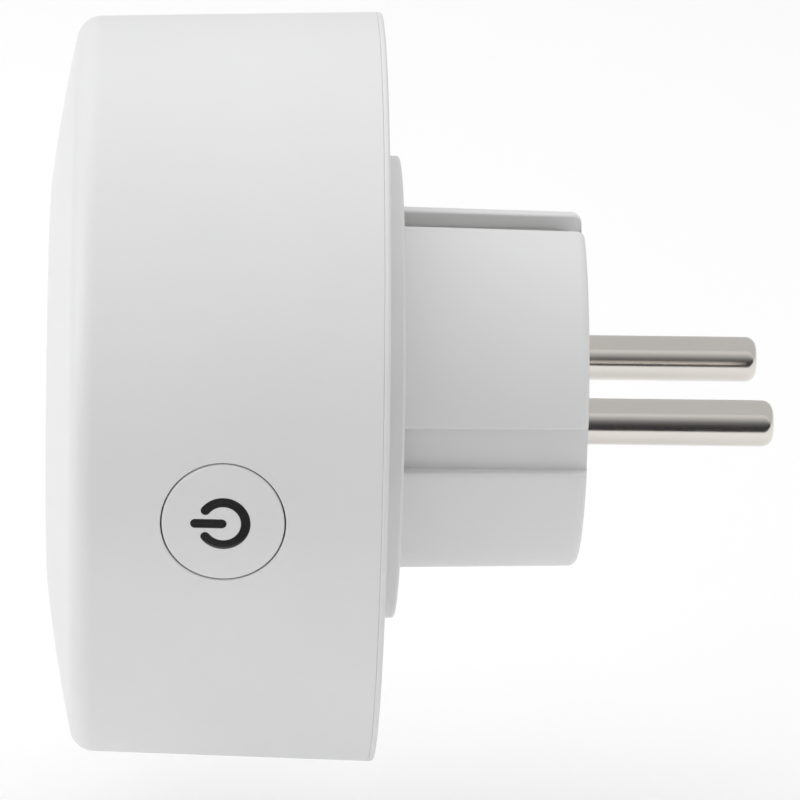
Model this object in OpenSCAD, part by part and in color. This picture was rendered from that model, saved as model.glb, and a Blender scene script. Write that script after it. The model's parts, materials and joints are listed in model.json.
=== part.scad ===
// Smart plug: a round body with an earthed socket in its front, an earthed two-pin plug nose on
// its back, and a power button with a smoked light window in its side wall.
// X is the plug's axis: the pins point to +X and the socket faces -X. +Z is up, and the button
// is on the -Y side. The origin is on the axis, in the plane where the plug meets the wall.

/* [Body] */
// Diameter of the body at its back edge
body_d = 78.4; // [74:0.1:96]
// Depth of the body from its front lip to its back face
body_depth = 34.05; // [31:0.05:44]
// Draft angle of the side wall
wall_draft = 1.6; // [0:0.1:3]
// Thickness of the front shell
shell_t = 2.0; // [1.5:0.1:2.4]
// How far the domed front falls back between its lip and its outer edge
dome_rise = 2.5; // [1.5:0.1:4]
// Radius of the rounded front edge
edge_r = 2.6; // [2.5:0.1:5]
// Slope of the dome where it meets the rounded edge
edge_slope = 12; // [8:0.5:18]

/* [Socket] */
// Inner diameter of the socket recess
recess_d = 39.4; // [39:0.1:40]
// Depth of the socket recess
recess_depth = 17.5; // [17:0.1:18]
// Wall of the socket cup
cup_t = 1.4; // [1:0.1:1.8]
// Thickness of the recess floor
floor_t = 2.0; // [1.5:0.1:2.5]
// Diameter of the pin holes in the floor
pin_hole_d = 5.6; // [5.2:0.1:6]
// Width of the side guide ribs
rib_w = 4.2; // [3.6:0.1:4.4]
// Height of the side guide ribs
rib_h = 1.2; // [0.8:0.1:1.4]

/* [Plug] */
// Diameter of the plug nose at its root
nose_d = 37.8; // [36.8:0.1:38.4]
// Diameter of the plug nose at its end
nose_end_d = 37.1; // [36:0.1:37.4]
// Length of the plug nose
nose_len = 19; // [17.5:0.1:22]
// Diameter of the raised disc around the nose
boss_d = 48.4; // [44:0.1:56]
// Height of the raised disc
boss_t = 2.1; // [1.5:0.1:3]
// Width of the earth and guide grooves in the nose
groove_w = 4.8; // [4.6:0.1:5.4]
// Depth of the earth grooves, top and bottom
earth_groove_depth = 2.4; // [2:0.1:2.6]
// Depth of the guide grooves at the sides
guide_groove_depth = 1.5; // [1.4:0.1:2.2]
// Diameter of the plug pins
pin_d = 4.8; // [4.8:0.1:5]
// Length of the pins beyond the nose
pin_len = 19.7; // [18.5:0.1:21]
// Distance between the pin axes
pin_spacing = 19; // [18.6:0.1:19.2]

/* [Button] */
// Diameter of the power button
button_d = 12.1; // [10.5:0.1:13.5]
// Gap between the button and its hole, on the radius
button_gap = 0.15; // [0.1:0.01:0.3]
// Distance of the button's centre in front of the wall plane
button_back = 18.3; // [17:0.1:20]
// Travel of the button
button_travel = 0.5; // [0.2:0.05:0.6]
// Outer diameter of the power symbol
symbol_d = 5.4; // [4.4:0.1:6]
// Line width of the power symbol
symbol_line = 0.95; // [0.7:0.05:1.1]

/* [Hidden] */

$fn = 64;
eps = 0.05;             // overlap that joins two shapes of one piece
seat_gap = 0.02;        // gap between two faces that are pressed together
fit_gap = 0.1;          // gap between two static pieces that slide together
run_gap = 0.05;         // radial clearance of the shutter on its post

// Stations along the axis
x_back = -boss_t;                       // back face of the body
x_lip = x_back - body_depth;            // front lip of the body
rim_t = 0.6;                            // visible edge of the rear cover
x_seam = x_back - rim_t;                // joint between the front shell and the rear cover
cover_t = 2.0;                          // rear cover plate
x_cover_in = x_back - cover_t;
x_floor = x_lip + recess_depth;         // front face of the recess floor
x_floor_back = x_floor + floor_t;
chamber = 3.45;                         // depth of the shutter chamber
x_carrier = x_floor_back + chamber;     // front face of the contact carrier's plate
carrier_t = 1.8;
x_carrier_back = x_carrier + carrier_t;
x_tower_end = x_back + 0.6;             // end of the carrier's contact towers
board_t = 1.6;                          // thickness of the main board
board_in_r = 21.2;                      // inner radius of the ring-shaped main board
post_len = 1.9;                         // rear cover posts that hold the main board
x_board_back = x_cover_in - post_len;
x_board = x_board_back - board_t;       // component side of the main board

// Radii
recess_r = recess_d / 2;
rim_w = 0.8;                            // visible rim of the socket cup
opening_r = recess_r + rim_w + fit_gap; // opening in the front shell
lip_w = 0.6;                            // flat lip around the opening
lip_round = 0.25;
flange_r = recess_r + 3.5;              // flange that holds the cup behind the shell
carrier_r = recess_r + 0.6;
skirt_t = 1.3;
pin_y = pin_spacing / 2;
pin_r = pin_d / 2;
pin_hole_r = pin_hole_d / 2;
groove_floor_r = nose_end_d / 2 - earth_groove_depth + 0.3;
nose_bore_r = groove_floor_r + 0.1;
block_r = groove_floor_r - 2.0;         // inner face of the material behind each groove
block_w = groove_w + 3.6;
end_wall = 2.0;                         // end wall of the nose
end_open_r = block_r - 0.8;             // opening for the pin carrier in that wall

// Draft and outline of the body
function wall_r(x) = body_d / 2 + (x - x_back) * tan(wall_draft);
dome_end_x = x_lip + dome_rise;
edge_cx = dome_end_x + edge_r * cos(edge_slope);
edge_cr = wall_r(edge_cx - edge_r * sin(wall_draft)) - edge_r * cos(wall_draft);
dome_r1 = edge_cr + edge_r * sin(edge_slope);
dome_r0 = opening_r + lip_w;
lip_slope = 2 * atan(dome_rise / (dome_r1 - dome_r0)) - edge_slope;
dome_rad = (dome_r1 - dome_r0) / (sin(edge_slope) - sin(lip_slope));
dome_cx = dome_end_x + dome_rad * cos(edge_slope);
dome_cr = dome_r1 - dome_rad * sin(edge_slope);
arc_steps = 8;

// Points [x, r] of the domed front and its rounded edge, moved inwards by inset
function dome_arc(inset) = [for (i = [0:arc_steps])
    let (t = lip_slope + (edge_slope - lip_slope) * i / arc_steps)
    [dome_cx - (dome_rad - inset) * cos(t), dome_cr + (dome_rad - inset) * sin(t)]];
function edge_arc(inset) = [for (i = [1:arc_steps])
    let (t = edge_slope + (90 - wall_draft - edge_slope) * i / arc_steps)
    [edge_cx - max(edge_r - inset, 0.1) * cos(t), edge_cr + max(edge_r - inset, 0.1) * sin(t)]];
function reversed(list) = [for (i = [len(list) - 1:-1:0]) list[i]];
function inner_face_x(r) = dome_cx - sqrt(pow(dome_rad - shell_t, 2) - pow(r - dome_cr, 2));
function inner_wall_r(x) = wall_r(x) - shell_t / cos(wall_draft);
x_shell_in = inner_face_x(opening_r);

// Case screws
screw_margin = 7.7;                     // from the body's back edge to the screws' axes
screw_at = body_d / 2 - screw_margin;   // distance of the screws from the axis
screw_angles = [45, 135, 225, 315];
boss_r = 3.2;
pilot_r = 1.15;
shank_r = 1.1;
screw_hole_r = 1.4;
head_r = 2.4;
head_t = 1.6;
head_well_r = 2.7;
head_well = 2.2;                        // depth of the screw head's seat below the back face
screw_len = 13;
cover_post_r = 4.0;

// Button and its switch
button_r = button_d / 2;
button_x = -button_back;
button_y = -wall_r(button_x);           // outside of the wall at the button
wall_in_y = -inner_wall_r(button_x);
flange_w = 0.85;
cap_web = 1.8;                          // thickness of the button's face
skirt_in_r = button_r - 1.05;
cap_stop_y = wall_in_y + 0.6;           // step in the sleeve that stops the button's flange
cap_flange_t = 0.8;
cap_flange_y = cap_stop_y + 0.04 + cap_flange_t;
sleeve_in_r = button_r + flange_w + 0.5;
sleeve_t = 1.6;
button_board_y = button_y + 7.8;        // outer face of the button's board
button_board_t = 1.2;
switch_w = 6;
switch_h = 3.1;
plunger_r = 1.7;
plunger_h = button_travel + 0.4;        // how far the plunger stands out of the switch
plunger_in = 0.8;                       // length of the plunger inside the switch
plunger_room = 0.6;                     // free depth behind the pressed plunger
plunger_y = button_board_y - switch_h - plunger_h;
guide_base_r = 4.3;
guide_base_t = 0.8;
guide_stem_r = 1.2;
stem_gap = 0.02;                        // free play between the stem and the switch
symbol_gap = 0.03;
symbol_mid_r = (symbol_d - symbol_line) / 2;
symbol_open = 38;                       // half of the ring's open angle
bar_len = 3.6;
bar_tip = 0.35;                         // how far the bar passes the ring's centre
tab_at = sleeve_in_r + sleeve_t + 1.2;  // screw tabs of the button's board
tab_r = 1.9;

// Shutter
post_r = 1.5;
shutter_t = 1.4;
shutter_gap = 0.2;
blade_r = pin_hole_r + 0.6;
x_shutter = x_floor_back + shutter_gap;
hub_r = 2.1;
hub_len = chamber - shutter_gap - 0.25;
coil_wire_r = 0.16;
coil_r = hub_r + coil_wire_r + 0.12;
coil_turns = 2.75;
coil_pitch = 0.42;
peg_r = 0.45;
peg_at = 5.2;

// Earth strap
strap_t = 0.8;
strap_w = 4.2;
earth_arm_r = recess_r - 2.1;           // inner face of the earth arms behind the floor
earth_bow = 1.9;                        // how far the arms bow into the recess
rear_strap_t = 0.6;

// Contacts
contact_in_r = pin_r + 0.05;
contact_t = 0.65;
contact_flange_r = 4.4;
contact_flange_t = 0.8;
link_t = 0.6;
link_w = 3;
link_z = 7.2;                           // height of the links' legs beside the contacts
pin_head_r = 3.6;
pin_head_t = 0.9;
x_pin_root = 2.6;                       // back of the pins' heads, towards the pin carrier
pin_shank_r = pin_r + 0.2;              // thicker shank of the pins, held in the pin carrier
pin_tip = 1.3;                          // rounding of the pins' tips
tower_r = 5.0;
x_link_run = x_cover_in - 1.1;          // where the links run out to the main board

white = [0.93, 0.93, 0.93];
nickel = [0.78, 0.76, 0.73];
brass_tone = [0.80, 0.66, 0.36];
board_green = [0.10, 0.36, 0.20];

// ---------- helpers ----------

// Turns an outline of [x, r] points about the X axis
module turned(points) rotate([0, 90, 0]) rotate_extrude($fn = 128)
    polygon([for (p = points) [p[1], p[0]]]);

// Round bar along X
module bar_x(x0, x1, r, y = 0, z = 0) translate([x0, y, z]) rotate([0, 90, 0])
    cylinder(h = x1 - x0, r = r);

// Cone along X
module cone_x(x0, x1, r0, r1, y = 0, z = 0) translate([x0, y, z]) rotate([0, 90, 0])
    cylinder(h = x1 - x0, r1 = r0, r2 = r1);

// Ring along X
module ring_x(x0, x1, r_out, r_in, y = 0, z = 0) difference() {
    bar_x(x0, x1, r_out, y, z);
    bar_x(x0 - 1, x1 + 1, r_in, y, z);
}

// Round bar along Y
module bar_y(y0, y1, r, x = button_x, z = 0) translate([x, y0, z]) rotate([-90, 0, 0])
    cylinder(h = y1 - y0, r = r);

// Block given by its low and high corners
module block(low, high) translate(low) cube(high - low);

// Same shape at both pins
module both_pins() for (side = [-1, 1]) translate([0, side * pin_y, 0]) children();

// Turns a shape about the axis; its local +Y points outwards
module at_angle(a) rotate([a, 0, 0]) children();

// Solid cone of the side wall around the button, moved inwards by inset
module wall_solid(inset) {
    $fn = 360;
    reach = sleeve_in_r + sleeve_t + 3.4;
    cone_x(button_x - reach, button_x + reach,
           wall_r(button_x - reach) - inset, wall_r(button_x + reach) - inset);
}

// ---------- casing ----------

module front_shell() color(white) difference() {
    union() {
        turned(concat(
            [[x_shell_in, opening_r], [x_lip + lip_round, opening_r],
             [x_lip, opening_r + lip_round]],
            dome_arc(0), edge_arc(0),
            [[x_seam, wall_r(x_seam)], [x_seam, inner_wall_r(x_seam)]],
            reversed(concat(dome_arc(shell_t), edge_arc(shell_t)))));
        for (a = screw_angles) at_angle(a) screw_boss();
        intersection() {
            button_sleeve();
            wall_solid(shell_t / 2);
        }
    }
    bar_y(button_y - 2, button_board_y + 1, button_r + button_gap);
    bar_y(cap_stop_y, button_board_y + 1, sleeve_in_r);
    for (a = screw_angles) at_angle(a)
        bar_x(x_board - screw_len - 1, x_board + 1, pilot_r, screw_at);
    for (side = [-1, 1])
        bar_y(button_board_y - 4, button_board_y + 1, 0.75, button_x, side * tab_at);
}

// Screw boss with a rib to the side wall
module screw_boss() {
    bar_x(inner_face_x(screw_at + boss_r) - shell_t / 2, x_board, boss_r, screw_at);
    block([x_lip + dome_rise + 1, screw_at, -0.6],
          [x_board - 1, inner_wall_r(x_lip + dome_rise + 1) + shell_t / 3, 0.6]);
}

// Sleeve inside the wall that guides the button and carries its board
module button_sleeve() {
    bar_y(button_y, button_board_y, sleeve_in_r + sleeve_t);
    for (side = [-1, 1])
        bar_y(button_y, button_board_y, tab_r, button_x, side * tab_at);
}

module rear_cover() color(white) difference() {
    union() {
        // edge, register, plate and raised disc
        turned([[x_back, 0], [x_back, wall_r(x_back) - 0.4],
                [x_back - 0.12, wall_r(x_back) - 0.12], [x_back - 0.4, wall_r(x_back)],
                [x_seam, wall_r(x_seam)], [x_seam, inner_wall_r(x_seam) - fit_gap],
                [x_cover_in - 1.2, inner_wall_r(x_seam) - fit_gap - 0.1],
                [x_cover_in - 1.2, inner_wall_r(x_seam) - 1.6], [x_cover_in, inner_wall_r(x_seam) - 1.8],
                [x_cover_in, 0]]);
        turned([[x_back - eps, 0], [x_back - eps, boss_d / 2], [-0.4, boss_d / 2],
                [-0.12, boss_d / 2 - 0.12], [0, boss_d / 2 - 0.4], [0, 0]]);
        // nose with a small fillet at its root and a rounded end
        turned(concat([[-eps, 0], [-eps, nose_d / 2 + 0.5], [0, nose_d / 2 + 0.5],
                       [0.12, nose_d / 2 + 0.2], [0.45, nose_d / 2]],
                      [for (t = [0:15:90]) [nose_len - 0.8 + 0.8 * sin(t),
                                            nose_end_d / 2 - 0.8 + 0.8 * cos(t)]],
                      [[nose_len, 0]]));
        for (a = screw_angles) at_angle(a)
            bar_x(x_board_back + seat_gap, x_cover_in + eps, cover_post_r, screw_at);
        for (a = screw_angles) at_angle(a)
            bar_x(x_carrier_back + seat_gap, x_cover_in + eps, 1.5, carrier_r - 2.1);
    }
    // inside of the nose, with material left behind each groove
    difference() {
        bar_x(x_cover_in - 1, nose_len - end_wall, nose_bore_r);
        for (a = [0, 90, 180, 270]) at_angle(a)
            block([-1.2, block_r, -block_w / 2], [nose_len, nose_bore_r + 1, block_w / 2]);
    }
    bar_x(nose_len - end_wall - 1, nose_len + 1, end_open_r);
    for (a = [90, 270]) at_angle(a) {
        block([0, groove_floor_r, -groove_w / 2], [nose_len + 1, nose_d, groove_w / 2]);
        block([x_cover_in - 1, groove_floor_r - 0.3, -strap_w / 2 - fit_gap],
              [eps, groove_floor_r + rear_strap_t + fit_gap, strap_w / 2 + fit_gap]);
    }
    for (a = [0, 180]) at_angle(a)
        block([0, nose_end_d / 2 - guide_groove_depth, -groove_w / 2],
              [nose_len + 1, nose_d, groove_w / 2]);
    for (a = screw_angles) at_angle(a) {
        bar_x(x_board_back - 1, x_back + 1, screw_hole_r, screw_at);
        bar_x(x_back - head_well, x_back + 1, head_well_r, screw_at);
    }
}

// ---------- socket ----------

module socket_insert() color(white) difference() {
    union() {
        turned([[x_floor, recess_r], [x_lip + lip_round, recess_r], [x_lip, recess_r + lip_round],
                [x_lip, opening_r - fit_gap - lip_round], [x_lip + lip_round, opening_r - fit_gap],
                [inner_face_x(opening_r) + seat_gap, opening_r - fit_gap],
                [inner_face_x(flange_r) + seat_gap, flange_r],
                [inner_face_x(flange_r) + 1.4, flange_r],
                [inner_face_x(flange_r) + 1.4, recess_r + cup_t],
                [x_floor_back, recess_r + cup_t], [x_floor_back, 0], [x_floor, 0]]);
        for (a = [0, 180]) at_angle(a) guide_rib();
        bar_x(x_floor_back - eps, x_carrier + 0.8, post_r);
    }
    both_pins() bar_x(x_floor - 1, x_floor_back + 1, pin_hole_r);
    both_pins() cone_x(x_floor - 0.01, x_floor + 0.5, pin_hole_r + 0.5, pin_hole_r);
    for (a = [90, 270]) at_angle(a) {
        // slot for the earth arm, and room behind it in the cup's wall
        block([x_floor - 1, recess_r - 3.4, -strap_w / 2 - 0.5],
              [x_floor_back + 1, recess_r - 0.4, strap_w / 2 + 0.5]);
        block([x_lip + 4, recess_r - 1, -strap_w / 2 - 0.5],
              [x_floor + eps, recess_r + 0.7, strap_w / 2 + 0.5]);
    }
}

// Side rib that fits the guide groove of a plug, with a sloped start
module guide_rib() translate([0, 0, -rib_w / 2]) linear_extrude(rib_w) polygon([
    [x_lip + 2.5, recess_r + 0.4], [x_lip + 2.5, recess_r - 0.1],
    [x_lip + 2.5 + 1.5 * rib_h, recess_r - rib_h], [x_floor + eps, recess_r - rib_h],
    [x_floor + eps, recess_r + 0.4]]);

module contact_carrier() color([0.90, 0.88, 0.82]) difference() {
    union() {
        bar_x(x_carrier, x_carrier_back, carrier_r);
        ring_x(x_floor_back + seat_gap, x_carrier + eps, carrier_r, carrier_r - skirt_t);
        both_pins() bar_x(x_carrier_back - eps, x_tower_end, tower_r);
        translate([0, 0, -peg_at]) bar_x(x_carrier - 1.6, x_carrier + eps, peg_r);
    }
    both_pins() {
        bar_x(x_carrier - 1, x_carrier_back + 1, pin_hole_r);
        bar_x(x_carrier_back, x_tower_end + 1, contact_in_r + contact_t + 0.35);
        block([x_carrier_back + 1, -0.6, -tower_r - 1], [x_tower_end + 1, 0.6, tower_r + 1]);
    }
    bar_x(x_carrier - 1, x_carrier_back + 1, post_r + fit_gap);
    for (a = [90, 270]) at_angle(a)
        block([x_carrier - 1, earth_arm_r - 0.3, -strap_w / 2 - 0.4],
              [x_carrier_back + 1, earth_arm_r + strap_t + 0.3, strap_w / 2 + 0.4]);
}

// Split spring tube that grips a pin, with a solder flange
module contact_tube() difference() {
    union() {
        bar_x(x_carrier_back + 0.3, x_tower_end + contact_flange_t, contact_in_r + contact_t);
        bar_x(x_tower_end + seat_gap, x_tower_end + contact_flange_t, contact_flange_r);
    }
    bar_x(x_carrier_back - 1, x_tower_end + contact_flange_t + 1, contact_in_r);
    cone_x(x_carrier_back + 0.29, x_carrier_back + 0.8, contact_in_r + 0.45, contact_in_r);
    for (a = [0:60:120]) at_angle(a)
        block([x_carrier_back - 1, -4, -0.3], [x_tower_end - 2, 4, 0.3]);
}

module live_contact() color(brass_tone) translate([0, -pin_y, 0]) contact_tube();
module neutral_contact() color(brass_tone) translate([0, pin_y, 0]) contact_tube();

// Spring strip: a bridge behind the carrier and two arms that bow into the recess
module front_earth_strap() color(nickel) {
    for (a = [90, 270]) at_angle(a) translate([0, 0, -strap_w / 2]) linear_extrude(strap_w)
        polygon([
            [x_carrier_back + seat_gap, 0], [x_carrier_back + seat_gap, earth_arm_r],
            [x_floor, earth_arm_r], [x_floor - 7.5, earth_arm_r - earth_bow],
            [x_floor - 11.5, earth_arm_r - 0.2], [x_floor - 11.9, earth_arm_r + 0.5],
            [x_floor - 7.5, earth_arm_r - earth_bow + strap_t],
            [x_floor - 0.1, earth_arm_r + strap_t],
            [x_carrier_back + seat_gap + strap_t, earth_arm_r + strap_t],
            [x_carrier_back + seat_gap + strap_t, 0]]);
}

module earth_link() color(nickel) {
    block([x_carrier_back + seat_gap + strap_t, -1.5, -0.4], [x_back + 0.1, 1.5, 0.4]);
}

module socket_shutter() color([0.88, 0.55, 0.20]) difference() {
    union() {
        bar_x(x_shutter, x_shutter + shutter_t, hub_r + 1);
        bar_x(x_shutter, x_shutter + hub_len, hub_r);
        both_pins() bar_x(x_shutter, x_shutter + shutter_t, blade_r);
        block([x_shutter, -pin_y, -2.1], [x_shutter + shutter_t, pin_y, 2.1]);
        translate([0, peg_at, 0]) bar_x(x_shutter, x_shutter + hub_len, peg_r);
    }
    bar_x(x_floor_back - 1, x_carrier + 1, post_r + run_gap);
}

// Coil spring round the shutter's hub: a round wire carried along a helix, with two legs
wire_sides = 8;
coil_steps = 20;
x_coil = x_shutter + shutter_t + coil_wire_r + 0.1;
function coil_point(i) = let (a = 360 * i / coil_steps)
    [x_coil + coil_pitch * i / coil_steps, coil_r * cos(a), coil_r * sin(a)];
coil_rings = [for (i = [0:coil_turns * coil_steps])
    let (p = coil_point(i), a = 360 * i / coil_steps)
    [for (j = [0:wire_sides - 1]) let (b = 360 * j / wire_sides)
        p + coil_wire_r * [cos(b), sin(b) * cos(a), sin(b) * sin(a)]]];
module shutter_spring() color([0.6, 0.6, 0.62]) {
    last = coil_turns * coil_steps;
    polyhedron(
        points = [for (ring = coil_rings) each ring],
        faces = concat(
            [[for (j = [0:wire_sides - 1]) j]],
            [for (i = [0:last - 1]) for (j = [0:wire_sides - 1])
                let (a = i * wire_sides + j, b = i * wire_sides + (j + 1) % wire_sides)
                [a, a + wire_sides, b + wire_sides, b]],
            [[for (j = [wire_sides - 1:-1:0]) last * wire_sides + j]]));
    // legs from the coil's ends to the shutter's peg and the carrier's peg
    leg_len = peg_at - peg_r - coil_r;
    translate([x_coil, coil_r, 0]) rotate([-90, 0, 0])
        cylinder(h = leg_len, r = coil_wire_r, $fn = wire_sides);
    translate([x_coil + coil_pitch * coil_turns, 0, -coil_r - leg_len])
        cylinder(h = leg_len, r = coil_wire_r, $fn = wire_sides);
}

// ---------- plug ----------

module plug_pin() {
    bar_x(x_pin_root - pin_head_t, x_pin_root, pin_head_r);
    bar_x(x_pin_root - eps, nose_len, pin_shank_r);
    bar_x(nose_len - eps, nose_len + pin_len - pin_tip, pin_r);
    rotate([0, 90, 0]) translate([0, 0, nose_len + pin_len - pin_tip]) rotate_extrude() polygon(
        concat([[0, -eps], [pin_r, -eps]],
               [for (t = [0:10:90]) [pin_r - pin_tip + pin_tip * cos(t), pin_tip * sin(t)]],
               [[0, pin_tip]]));
}

module live_pin() color(nickel) translate([0, -pin_y, 0]) plug_pin();
module neutral_pin() color(nickel) translate([0, pin_y, 0]) plug_pin();

// Insulating block that holds the pins and closes the nose
module pin_carrier() color(white) difference() {
    union() {
        bar_x(nose_len - end_wall - eps, nose_len, end_open_r - fit_gap);
        bar_x(nose_len - end_wall - 2.2, nose_len - end_wall - seat_gap, block_r - 0.2);
        both_pins() bar_x(x_pin_root + seat_gap, nose_len - end_wall - 2, pin_r + 2);
        block([x_pin_root + 1, -pin_y, -1], [nose_len - end_wall - 2, pin_y, 1]);
    }
    both_pins() bar_x(0, nose_len + 1, pin_shank_r);
}

// Strip with its arms on the floors of the earth grooves
module rear_earth_strap() color(nickel) {
    for (a = [90, 270]) at_angle(a) translate([0, 0, -strap_w / 2]) linear_extrude(strap_w)
        polygon([
            [x_back + 0.1, 0], [x_back + 0.1, groove_floor_r + rear_strap_t],
            [nose_len - 3, groove_floor_r + rear_strap_t],
            [nose_len - 1.3, groove_floor_r + 0.1], [nose_len - 1.3, groove_floor_r + seat_gap],
            [x_back + 0.1 + rear_strap_t, groove_floor_r + seat_gap],
            [x_back + 0.1 + rear_strap_t, 0]]);
}

// Flat ring on a contact's flange with an arm to a leg at height z
module link_ring(x, z) {
    ring_x(x, x + link_t, contact_flange_r - 0.4, contact_in_r + 0.2);
    link_arm(x, z, contact_in_r + 0.6);
}
module link_arm(x, z, from) block(
    [x, -link_w / 2, min(sign(z) * from, z)], [x + link_t, link_w / 2, max(sign(z) * from, z)]);

x_flange_end = x_tower_end + contact_flange_t + seat_gap;
x_head = x_pin_root - pin_head_t - seat_gap;

// Strip between the neutral contact and the neutral pin
module neutral_link() color([0.75, 0.45, 0.25]) translate([0, pin_y, 0]) {
    link_ring(x_flange_end, -link_z);
    bar_x(x_head - link_t, x_head, pin_head_r - 0.6);
    link_arm(x_head - link_t, -link_z, pin_head_r - 1.2);
    block([x_flange_end, -link_w / 2, -link_z - link_t], [x_head, link_w / 2, -link_z]);
}

// Leg from a contact or a pin to the main board
module link_run(x, z) {
    low = z > 0 ? z : z - link_t;
    wide = z > 0 ? z : z - link_w;
    reach = board_in_r - pin_y + 3;
    block([x_link_run, -link_w / 2, low], [x + link_t, link_w / 2, low + link_t]);
    block([x_link_run, -reach, wide], [x_link_run + link_t, link_w / 2, wide + link_w]);
    block([x_board_back + seat_gap, -reach, wide],
          [x_link_run + eps, 1.5 - reach, wide + link_w]);
}

module live_in_link() color([0.75, 0.45, 0.25]) translate([0, -pin_y, 0]) {
    bar_x(x_head - link_t, x_head, pin_head_r - 0.6);
    link_arm(x_head - link_t, -link_z, pin_head_r - 1.2);
    link_run(x_head - link_t, -link_z);
}

module live_out_link() color([0.75, 0.45, 0.25]) translate([0, -pin_y, 0]) {
    link_ring(x_flange_end, link_z);
    link_run(x_flange_end, link_z);
}

// ---------- electronics ----------

module main_board() color(board_green) difference() {
    ring_x(x_board, x_board_back, screw_at + 2.2, board_in_r);
    for (a = screw_angles) at_angle(a) bar_x(x_board - 1, x_board_back + 1, screw_hole_r, screw_at);
}

// A part that stands on the main board: height along -X, depth outwards, width along the rim
module on_board(a, r_in, height, depth, width) at_angle(a)
    block([x_board - height, r_in, -width / 2], [x_board - seat_gap, r_in + depth, width / 2]);

module relay() color([0.15, 0.16, 0.18]) on_board(90, 22.2, 15.3, 10.2, 18.4);
module film_capacitor() color([0.86, 0.72, 0.25]) on_board(270, 22.4, 12, 8.5, 17);

module filter_capacitors() color([0.20, 0.20, 0.28]) for (a = [-10.5, 10.5]) at_angle(a)
    translate([0, 27.6, 0]) {
        bar_x(x_board - 12, x_board - seat_gap, 4);
        bar_x(x_board - 12.3, x_board - 12 + eps, 3.5);
    }

module choke() color([0.25, 0.20, 0.18]) at_angle(-60) translate([0, 27, 0]) difference() {
    union() {
        bar_x(x_board - 1.2, x_board - seat_gap, 3.8);
        bar_x(x_board - 8, x_board - 1, 3.2);
        bar_x(x_board - 9, x_board - 7.8, 3.8);
    }
    bar_x(x_board - 10, x_board - 6, 1);
}

module varistor() color([0.15, 0.35, 0.65]) at_angle(60)
    translate([x_board - 6.4, 27.5, -2]) cylinder(h = 4, r = 5);

module fuse_resistor() color([0.45, 0.62, 0.50]) at_angle(120) translate([0, 27, 0]) {
    bar_x(x_board - 11, x_board - 2, 1.9);
    bar_x(x_board - 2 - eps, x_board - seat_gap, 0.4);
}

module board_chips() color([0.12, 0.12, 0.13]) for (a = [70, 110, 250, 290]) at_angle(a)
    block([x_board_back + seat_gap, 24, -2.5], [x_board_back + 1.2, 28, 2.5]);

wifi_y = -24.6;
module wifi_board() color([0.08, 0.20, 0.45])
    block([x_board - 22, wifi_y - 0.8, -8], [x_board - seat_gap, wifi_y, 8]);
module wifi_shield() color(nickel)
    block([x_board - 17, wifi_y - 3, -6], [x_board - 2.5, wifi_y - 0.8 - seat_gap, 6]);

// ---------- button ----------

// Points of an arc about a centre, from one angle to another
function arc(centre, r, from, to, steps) = [for (i = [0:steps])
    let (t = from + (to - from) * i / steps) centre + r * [cos(t), sin(t)]];

// Outline of the power symbol's ring: an outer arc, a round end, an inner arc and a round end
function ring_outline(line_r) = let (a = 180 - symbol_open) concat(
    arc([0, 0], symbol_mid_r + line_r, -a, a, 40),
    arc(symbol_mid_r * [cos(a), sin(a)], line_r, a + 22.5, a + 157.5, 6),
    arc([0, 0], symbol_mid_r - line_r, a, -a, 40),
    arc(symbol_mid_r * [cos(a), -sin(a)], line_r, 202.5 - a, 337.5 - a, 6));

// Outline of the power symbol's bar, with round ends
function bar_outline(line_r) = let (bar_end = bar_tip - symbol_line / 2) concat(
    arc([bar_end, 0], line_r, -90, 90, 8),
    arc([bar_end - bar_len + symbol_line, 0], line_r, 90, 270, 8));

// An outline in the button's face, carried from y0 to y1
module through_button(outline, y0, y1) translate([button_x, y1, 0]) rotate([90, 0, 0])
    linear_extrude(y1 - y0) polygon(outline);

module button_cap() color(white) difference() {
    union() {
        intersection() {
            bar_y(button_y - 3, cap_flange_y - cap_flange_t + eps, button_r);
            wall_solid(0);
        }
        bar_y(cap_flange_y - cap_flange_t, cap_flange_y, button_r + flange_w);
    }
    bar_y(button_y + cap_web, cap_flange_y + 1, skirt_in_r);
    through_button(ring_outline(symbol_line / 2 + symbol_gap), button_y - 3, button_y + cap_web + 1);
    through_button(bar_outline(symbol_line / 2 + symbol_gap), button_y - 3, button_y + cap_web + 1);
}

module button_light_guide() color([0.16, 0.15, 0.15]) {
    for (outline = [ring_outline(symbol_line / 2), bar_outline(symbol_line / 2)]) intersection() {
        through_button(outline, button_y - 3, button_y + cap_web + seat_gap + eps);
        wall_solid(0);
    }
    bar_y(button_y + cap_web + seat_gap, button_y + cap_web + guide_base_t, guide_base_r);
    bar_y(button_y + cap_web + guide_base_t - eps, plunger_y - stem_gap, guide_stem_r);
}

module tact_switch() color([0.10, 0.10, 0.11]) difference() {
    block([button_x - switch_w / 2, button_board_y - switch_h, -switch_w / 2],
          [button_x + switch_w / 2, button_board_y - seat_gap, switch_w / 2]);
    bar_y(button_board_y - switch_h - 1,
          button_board_y - switch_h + plunger_in + button_travel + plunger_room, plunger_r + 0.1);
}

module tact_plunger() color([0.75, 0.74, 0.70])
    bar_y(plunger_y, plunger_y + plunger_h + plunger_in, plunger_r);

module button_board() color(board_green) difference() {
    union() {
        bar_y(button_board_y + seat_gap, button_board_y + button_board_t, sleeve_in_r + sleeve_t);
        for (side = [-1, 1])
            bar_y(button_board_y + seat_gap, button_board_y + button_board_t, tab_r,
                  button_x, side * tab_at);
    }
    for (side = [-1, 1])
        bar_y(button_board_y - 1, button_board_y + 3, 0.95, button_x, side * tab_at);
}

module status_led() color([0.95, 0.95, 0.80])
    block([button_x + 3.5, button_board_y - 0.8, -0.8], [button_x + 4.9, button_board_y - seat_gap, 0.8]);

// ---------- screws ----------

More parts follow.
